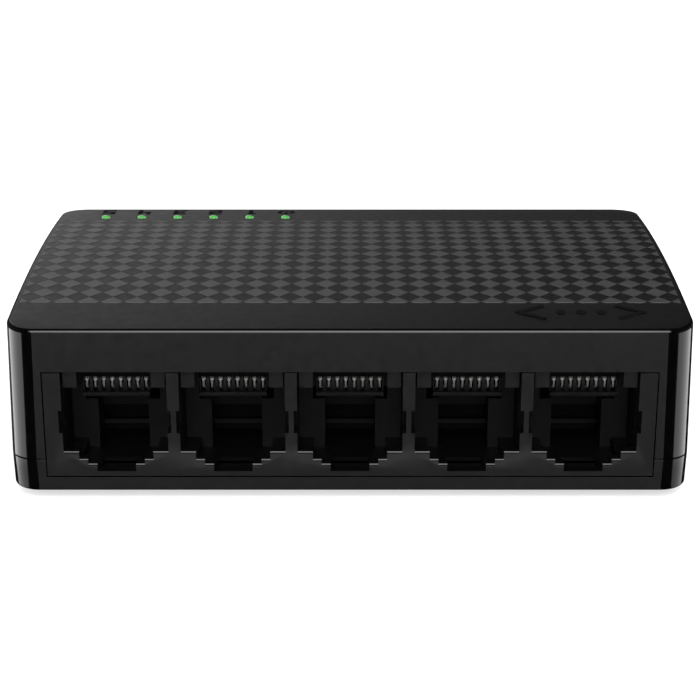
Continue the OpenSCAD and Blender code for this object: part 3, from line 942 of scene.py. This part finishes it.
def rear_ribs():
    """The ribs on which the housing stands on the board, each with its peg."""
    places = [k * PORT_PITCH for k in (-1.5, -0.5, 0.5, 1.5)]
    places += [-WINDOW_HALF + RIB_FROM_END, WINDOW_HALF - RIB_FROM_END]
    peg = [(0.35, board_low.z - 0.6), (PEG_R, board_low.z - 0.45), (PEG_R, board_high.z + 0.2)]
    made = []
    for x in places:
        made.append(bar("rib", (x - RIB_HALF, x + RIB_HALF), RIB_Y, (board_high.z, RIB_TOP), 0.1,
                        SATIN))
        made.append(lathe("peg", peg, lambda u, v, d: (x + u, PEG_Y + v, d), 24, SATIN))
    return made


# ---------------------------------------------------------------- contact wires

def swept(name, x, path, scale, *materials):
    """A wire along a path of (y, z) points at one x. scale(i) gives its width and thickness."""
    section = rounded((-WIRE_W / 2, WIRE_W / 2), (-WIRE_T / 2, WIRE_T / 2), WIRE_ROUND, 3)
    count = len(section)
    verts = []
    for i, here in enumerate(path):
        before = Vector(path[max(i - 1, 0)])
        after = Vector(path[min(i + 1, len(path) - 1)])
        along = (after - before).normalized()
        across = Vector((-along.y, along.x))
        wide, thick = scale(i)
        for u, v in section:
            point = Vector(here) + across * v * thick
            verts.append((x + u * wide, point.x, point.y))
    faces = [tuple(range(count)), tuple(reversed(range(len(verts) - count, len(verts))))]
    piece = make(name, verts, faces + sides(count, len(path)), *materials)
    tidy_mesh(piece, 50)
    return piece


def turn(centre, radius, start, end, steps):
    """Points on an arc, angles in degrees from the first axis towards the second."""
    points = []
    for i in range(steps + 1):
        angle = math.radians(start + (end - start) * i / steps)
        points.append((centre[0] + radius * math.cos(angle), centre[1] + radius * math.sin(angle)))
    return points


# Steps round the bend: the wire widens up to the shoulder, then narrows to its stem in front
SHOULDER_AT = 9
SHOULDER = 1.32
NARROWING = 0.36
STEM = 0.6


def blade(step):
    """Relative width of a wire at a step round its bend. Steps before the bend are negative."""
    if step < 0:
        return 1.0
    if step < SHOULDER_AT:
        return 1.0 + (SHOULDER - 1.0) * step / SHOULDER_AT
    return max(STEM, SHOULDER - NARROWING * (step - SHOULDER_AT))


def fixed_wire(x, tail):
    """What stays put of a wire: the tail in the board, the top run and the bend in front."""
    top = BEND_Z + BEND_MID
    path = [(tail, TAIL_LOW), (tail, top - TAIL_CORNER - 3)]
    path += turn((tail - TAIL_CORNER, top - TAIL_CORNER), TAIL_CORNER, 0, 90, 6)
    path += [(tail - 6, top), (BEND_Y + 2, top)]
    bend = len(path)
    path += turn((BEND_Y, BEND_Z), BEND_MID, 90, 268, 26)
    return swept("w", x, path, lambda i: (blade(i - bend), 1), WIRE)


def free_leg(x):
    """The leg of a wire, which slopes down from the bend. It starts, slimmer, inside the bend."""
    slope = math.radians(-LEG_SLOPE)
    start = turn((BEND_Y, BEND_Z), BEND_MID, 252, 272, 4)
    out = (BEND_Y + 0.55, BEND_Z - BEND_MID - 0.07)
    tip = (out[0] + LEG_LENGTH * math.cos(slope), out[1] + LEG_LENGTH * math.sin(slope))
    path = start + [out, (out[0] + 0.6, out[1] - 0.19), tip,
                    (tip[0] + 0.35, tip[1] - 0.02), (tip[0] + 0.6, tip[1] + 0.14)]
    return swept("l", x, path, lambda i: (0.8, 0.9) if i < len(start) else (0.95, 1), WIRE)


def build_wires():
    """Eight wires a port, their tails in two rows. Their legs ride on the body that flexes."""
    for port in PORTS:
        fixed = []
        legs = []
        for wire in WIRES:
            x = wire_x(port, wire)
            fixed.append(fixed_wire(x, TAIL_Y + (wire % 2) * TAIL_STEP))
            legs.append(free_leg(x))
        settle(join(f"port_{port}_wires", fixed), "case", "contact_metal", f"port_{port}_leads")
        settle(join(f"port_{port}_legs", legs), f"port_{port}_contacts", "contact_metal",
               f"port_{port}_springs")


# ---------------------------------------------------------------- lights, marks, feet

def build_light_guide():
    """Six posts joined by a bar. Their domed ends are the lenses in the roof."""
    top = arch(LIGHT_Y) + LENS_PROUD
    profile = [(GUIDE_POST_R, guide_low.z), (GUIDE_POST_R, GUIDE_TAPER[0]),
               (LENS_R, GUIDE_TAPER[1]), (LENS_R, top - LENS_PROUD)]
    for angle in (0, 15, 30, 45, 60, 75, 86):
        turned = math.radians(angle)
        profile.append((LENS_R * math.cos(turned), top + LENS_DOME * math.sin(turned)))
    posts = []
    for light in LIGHTS:
        x = light_x(light)
        post = lathe("post", profile, lambda u, v, d: (x + u, LIGHT_Y + v, d), 40, GUIDE, LENS)
        for face in post.data.polygons:
            if face.center.z > (top - LENS_LIT) * MM:
                face.material_index = 1
        posts.append(post)
    posts.append(bar("guide_bar", (guide_low.x, guide_high.x),
                     (LIGHT_Y - GUIDE_BAR_HALF, LIGHT_Y + GUIDE_BAR_HALF), GUIDE_BAR_Z, 0.15, GUIDE))
    settle(join("light_guide_detail", posts), "case", "light_guide_plastic", "light_guide")


def on_roof(name, strokes, centre, size, rise, material):
    """Flat strokes laid on the roof, turned to be read from the far side."""
    pieces = []
    for outline in strokes:
        placed = [(centre[0] - u * size, centre[1] - v * size) for u, v in outline]
        if area(placed) < 0:
            placed.reverse()
        count = len(placed)
        verts = [(u, v, arch(v) - 0.02) for u, v in placed]
        verts += [(u, v, arch(v) + rise) for u, v in placed]
        faces = [tuple(reversed(range(count))), tuple(range(count, 2 * count))]
        faces += [(k, (k + 1) % count, (k + 1) % count + count, k + count) for k in range(count)]
        pieces.append(make("stroke", verts, faces, material))
    piece = join(name, pieces)
    tidy_mesh(piece, 30)
    return piece


def line(a, b, width):
    """One stroke between two points, as an outline."""
    along = (Vector(b) - Vector(a)).normalized() * width / 2
    side = Vector((-along.y, along.x))
    start, end = Vector(a) - along, Vector(b) + along
    return [tuple(start - side), tuple(end - side), tuple(end + side), tuple(start + side)]


def arc_strokes(centre, radius, start, end, width, steps=14):
    """A curved stroke as short straight ones."""
    points = turn(centre, radius, start, end, steps)
    return [line(points[i], points[i + 1], width) for i in range(steps)]


# Strokes of each digit, as pairs of points
SEGMENTS = {
    1: [((0, -1), (0, 1)), ((-0.35, 0.65), (0, 1))],
    2: [((-0.5, 1), (0.5, 1)), ((0.5, 1), (0.5, 0)), ((0.5, 0), (-0.5, 0)),
        ((-0.5, 0), (-0.5, -1)), ((-0.5, -1), (0.5, -1))],
    3: [((-0.5, 1), (0.5, 1)), ((0.5, 1), (0.5, -1)), ((-0.3, 0), (0.5, 0)),
        ((-0.5, -1), (0.5, -1))],
    4: [((-0.5, 1), (-0.5, 0)), ((-0.5, 0), (0.5, 0)), ((0.5, 1), (0.5, -1))],
    5: [((0.5, 1), (-0.5, 1)), ((-0.5, 1), (-0.5, 0)), ((-0.5, 0), (0.5, 0)),
        ((0.5, 0), (0.5, -1)), ((0.5, -1), (-0.5, -1))],
}


def build_marks():
    """Digits and a power sign behind the lights, and a plain network sign near the front."""
    for light in LIGHTS:
        centre = (light_x(light), MARK_Y)
        if light == 0:
            strokes = arc_strokes((0, 0), 0.95, 125, 415, POWER_STROKE)
            strokes.append(line((0, 0.25), (0, 1.15), POWER_STROKE))
            piece = on_roof("mark_power", strokes, centre, 1.0, MARK_RISE, INK_AND_SHADE)
        else:
            strokes = [line(a, b, DIGIT_STROKE) for a, b in SEGMENTS[light]]
            piece = on_roof(f"mark_{light}", strokes, centre, DIGIT_SIZE, MARK_RISE, INK_AND_SHADE)
        settle(piece, "case", "case_plastic")
    tip, tail, half = SIGN_ARROW
    strokes = [line((side * tip, 0), (side * tail, v), SIGN_STROKE)
               for side in (-1, 1) for v in (half, -half)]
    strokes += [circle(x, 0, SIGN_STROKE, 24) for x in SIGN_DOTS]
    glyph = on_roof("network_sign", strokes, SIGN_AT, 1.0, SIGN_RISE, GLYPH)
    settle(glyph, "case", "case_plastic")


# A foot from the dimple in its sole out round the rim and up into the case, as (radius, height)
FOOT_PROFILE = [(0.6, 0.16), (0.9, 0.14), (3.0, 0.14), (3.25, 0.02), (3.4, 0.0), (3.9, 0.0),
                (4.2, 0.04), (4.42, 0.2), (4.5, 0.45), (4.5, BASE + 0.5), (4.3, BASE + 0.59)]


def build_feet():
    feet = [lathe("foot", FOOT_PROFILE, lambda u, v, d: (side * FOOT_X + u, y + v, d), 64, RUBBER)
            for side in (-1, 1) for y in FOOT_YS]
    settle(join("feet_detail", feet), "case", "foot_rubber", "rubber_feet")


# ---------------------------------------------------------------- studio

FLOOR_HALF = 3
FLOOR_SUN = 2.0


def floor_lamp(floor):
    """Light for the floor alone, so that it stays white right up to the object."""
    light = bpy.data.lights.new("floor_lamp", "SUN")
    light.energy = FLOOR_SUN
    lamp = bpy.data.objects.new("floor_lamp", light)
    bpy.context.scene.collection.objects.link(lamp)
    only = bpy.data.collections.new("floor_only")
    only.objects.link(floor)
    lamp.light_linking.receiver_collection = only
    lamp.light_linking.blocker_collection = only


def heading(azimuth, elevation):
    """A direction. Azimuth 0 is the front, and 90 the left side seen from the front."""
    a, e = math.radians(azimuth), math.radians(elevation)
    return (-math.sin(a) * math.cos(e), -math.cos(a) * math.cos(e), math.sin(e))


# Softboxes that glossy surfaces see. Each is a direction, the angles from it at which the light
# starts and is full, and the levels outside and inside.
LEFT_BOX = (heading(88, -8), 37, 35, 0, 1)
RIGHT_BOX = (heading(-88, -8), 37, 35, 0, 0.85)
KEY_BOX = (heading(145, 14), 40, 16, 0, 0.85)
FRONT_BOX = (heading(0, 42), 30, 14, 0, 5.0)
BACK_BOX = (heading(180, 35), 60, 10, 0, 0.05)
# The side boxes brighten towards the back and darken downwards. The front box ends at both sides.
BRIGHTER_BEHIND = (heading(180, 10), 125, 60, 1.9, 4.0)
DARKER_BELOW = ((0, 0, 1), 117, 113, 0.55, 1)
NOT_FAR_RIGHT = (heading(90, 0), 109, 105, 0, 1)
NOT_FAR_LEFT = (heading(-90, 0), 109, 105, 0, 1)
GLOSSY_LEAST = 0.012
MATT_LEVEL = 1.06


def build_world():
    """White for the camera, even for matt surfaces, and softboxes in the dark for glossy ones."""
    world = bpy.data.worlds.new("studio")
    bpy.context.scene.world = world
    world.use_nodes = True
    world.cycles.sampling_method = "NONE"
    nodes, links = world.node_tree.nodes, world.node_tree.links
    place = nodes.new("ShaderNodeTexCoord")

    def combine(operation, a, b):
        node = nodes.new("ShaderNodeMath")
        node.operation = operation
        for socket, value in zip(node.inputs, (a, b)):
            if isinstance(value, (int, float)):
                socket.default_value = value
            else:
                links.new(value, socket)
        return node.outputs["Value"]

    def towards(direction, edge_from, edge_to, low, high):
        """Rises from low to high as the ray turns towards a direction, by angle from it."""
        dot = nodes.new("ShaderNodeVectorMath")
        dot.operation = "DOT_PRODUCT"
        dot.inputs[1].default_value = direction
        links.new(place.outputs["Generated"], dot.inputs[0])
        ramp = nodes.new("ShaderNodeMapRange")
        ramp.interpolation_type = "SMOOTHSTEP"
        ramp.inputs["From Min"].default_value = math.cos(math.radians(edge_from))
        ramp.inputs["From Max"].default_value = math.cos(math.radians(edge_to))
        ramp.inputs["To Min"].default_value = low
        ramp.inputs["To Max"].default_value = high
        links.new(dot.outputs["Value"], ramp.inputs["Value"])
        return ramp.outputs["Result"]

    fall = combine("MULTIPLY", towards(*BRIGHTER_BEHIND), towards(*DARKER_BELOW))
    left = combine("MULTIPLY", towards(*LEFT_BOX), fall)
    right = combine("MULTIPLY", towards(*RIGHT_BOX), fall)
    key = towards(*KEY_BOX)
    front = combine("MULTIPLY", towards(*FRONT_BOX),
                    combine("MULTIPLY", towards(*NOT_FAR_RIGHT), towards(*NOT_FAR_LEFT)))
    back = towards(*BACK_BOX)
    glossy = combine("ADD", combine("ADD", left, right), combine("ADD", key, front))
    glossy = combine("ADD", combine("ADD", glossy, back), GLOSSY_LEAST)

    path = nodes.new("ShaderNodeLightPath")
    matt = combine("MULTIPLY", combine("SUBTRACT", 1, path.outputs["Is Glossy Ray"]), MATT_LEVEL)
    shine = combine("MULTIPLY", path.outputs["Is Glossy Ray"], glossy)
    background = nodes["Background"]
    background.inputs["Color"].default_value = (1, 1, 1, 1)
    links.new(combine("ADD", matt, shine), background.inputs["Strength"])


def build_studio():
    """The pale floor with its lamp, the world and the view settings."""
    floor_mesh = bpy.data.meshes.new("studio_floor")
    corners = rectangle((-FLOOR_HALF, FLOOR_HALF), (-FLOOR_HALF, FLOOR_HALF))
    floor_mesh.from_pydata([(x, y, 0) for x, y in corners], [], [(0, 1, 2, 3)])
    floor = bpy.data.objects.new("studio_floor", floor_mesh)
    bpy.context.scene.collection.objects.link(floor)
    material, nodes, links, shader = new_material("studio_floor")
    shader.inputs["Base Color"].default_value = (0.92, 0.92, 0.92, 1)
    shader.inputs["Roughness"].default_value = 0.9
    shader.inputs["Specular IOR Level"].default_value = 0.1
    # Seen from below, the floor is clear, so that the underside of the object shows
    side = nodes.new("ShaderNodeNewGeometry")
    clear = nodes.new("ShaderNodeBsdfTransparent")
    mix = nodes.new("ShaderNodeMixShader")
    links.new(side.outputs["Backfacing"], mix.inputs["Fac"])
    links.new(shader.outputs["BSDF"], mix.inputs[1])
    links.new(clear.outputs["BSDF"], mix.inputs[2])
    links.new(mix.outputs["Shader"], nodes["Material Output"].inputs["Surface"])
    floor_mesh.materials.append(material)
    floor.visible_glossy = False

    floor_lamp(floor)
    build_world()

    scene = bpy.context.scene
    scene.view_settings.view_transform = "Standard"
    scene.view_settings.look = "None"


CAMERA_LENS = 95.19
CAMERA_SENSOR = 36
CAMERA_PITCH = 20.33
CAMERA_BACK = 203.5
CAMERA_UP = 72.9


def build_camera():
    """At the photograph's angle: ahead of the front edge of the roof, looking down at it."""
    data = bpy.data.cameras.new("camera")
    data.lens = CAMERA_LENS
    data.sensor_width = CAMERA_SENSOR
    data.clip_start = 0.01
    camera = bpy.data.objects.new("camera", data)
    camera.location = Vector((0, FRONT - CAMERA_BACK, EDGE + CAMERA_UP)) * MM
    camera.rotation_euler = (math.radians(90 - CAMERA_PITCH), 0, 0)
    bpy.context.scene.collection.objects.link(camera)
    bpy.context.scene.camera = camera


build_camera()
build_studio()
build_top_shell()
build_base_shell()
build_roof_pads()
build_jack_housing()
build_wires()
build_light_guide()
build_marks()
build_feet()
